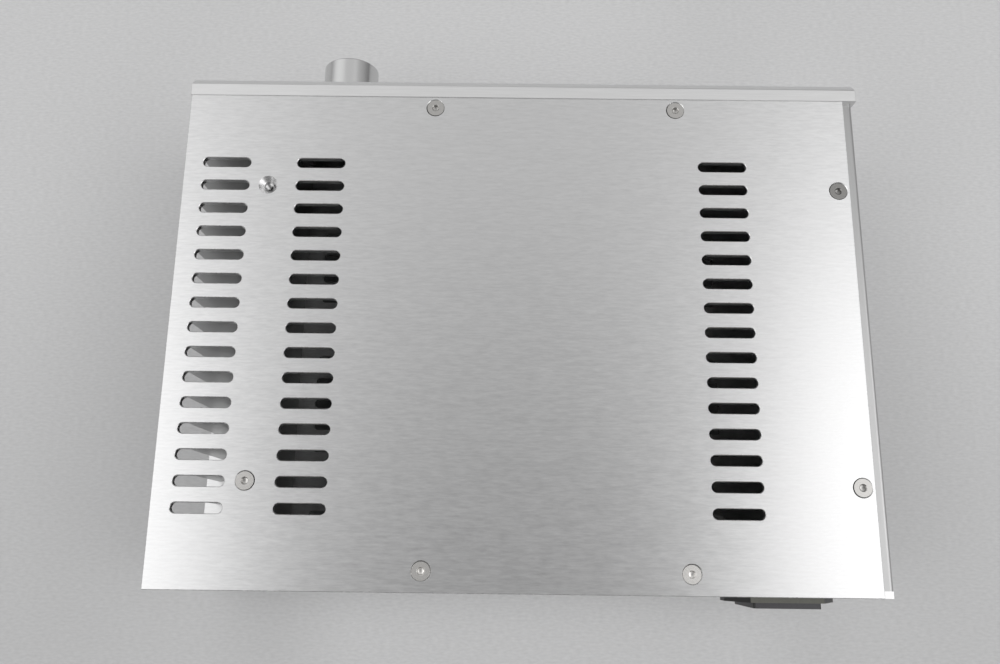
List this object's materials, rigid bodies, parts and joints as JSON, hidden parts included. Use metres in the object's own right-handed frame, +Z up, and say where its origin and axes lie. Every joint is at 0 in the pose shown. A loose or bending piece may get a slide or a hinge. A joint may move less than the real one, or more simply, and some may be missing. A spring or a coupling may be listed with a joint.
{
  "type": "amplifier chassis",
  "caption": "Empty flat aluminium amplifier case with vented plates, finned heatsink along its right side, volume knob and fused mains inlet.",
  "frame": {"origin": "under the middle of the whole object, on the plane that the feet stand on", "axes": "+X to the right when facing the knob, -Y to the front panel and knob, +Z up"},
  "size_m": [0.32, 0.2704, 0.088],
  "materials": {
    "plate": "brushed, anodised clear",
    "plate_plain": "brushed, anodised clear",
    "panel": "fine brushed, anodised clear",
    "side": "satin, anodised clear",
    "sink": "extruded, anodised clear",
    "bar": "extruded, plain",
    "turned": "turned",
    "knob": "turned, satin",
    "steel": "stainless",
    "dark_steel": "blackened",
    "can": "plated",
    "shaft": "turned",
    "contact": "tinned",
    "black": "moulded, satin",
    "rubber": "matt",
    "glass": "clear"
  },
  "bodies": {
    "chassis": {"top_cover": "plate", "bottom_plate": "plate", "top_cover_screws": "steel", "bottom_plate_screws": "steel", "heatsink": "sink", "front_panel": "panel", "rear_panel": "plate_plain", "side_panel": "side", "front_lower_rail": "bar", "front_upper_rail": "bar", "rear_lower_rail": "bar", "rear_upper_rail": "bar", "side_lower_rail": "bar", "side_upper_rail": "bar", "front_rail_screws": "steel", "rear_panel_screws": "steel", "side_panel_screws": "steel", "corner_brackets": "bar", "bracket_screws": "steel", "feet": "turned", "foot_pads": "rubber", "foot_screws": "steel", "foot_nuts": "steel", "pot_body": "can", "pot_terminals": "contact", "pot_washer": "steel", "pot_nut": "steel", "inlet_housing": "black", "inlet_pins": "contact", "inlet_screws": "dark_steel", "inlet_nuts": "steel"},
    "knob": {"volume_knob": "knob", "knob_set_screw": "dark_steel", "pot_shaft": "shaft"},
    "fuse_holder": {"fuse_drawer": "black", "fuse_caps": "contact", "fuse_glass": "glass"}
  },
  "joints": [
    {"name": "knob_turn", "type": "hinge", "parent": "chassis", "child": "knob", "pos_m": [0.0901, -0.11, 0.05], "axis": [0, -1, 0], "range_deg": [-150, 150]},
    {"name": "fuse_drawer_slide", "type": "slide", "parent": "chassis", "child": "fuse_holder", "axis": [0, 1, 0], "range_m": [0, 0.0165]}
  ]
}
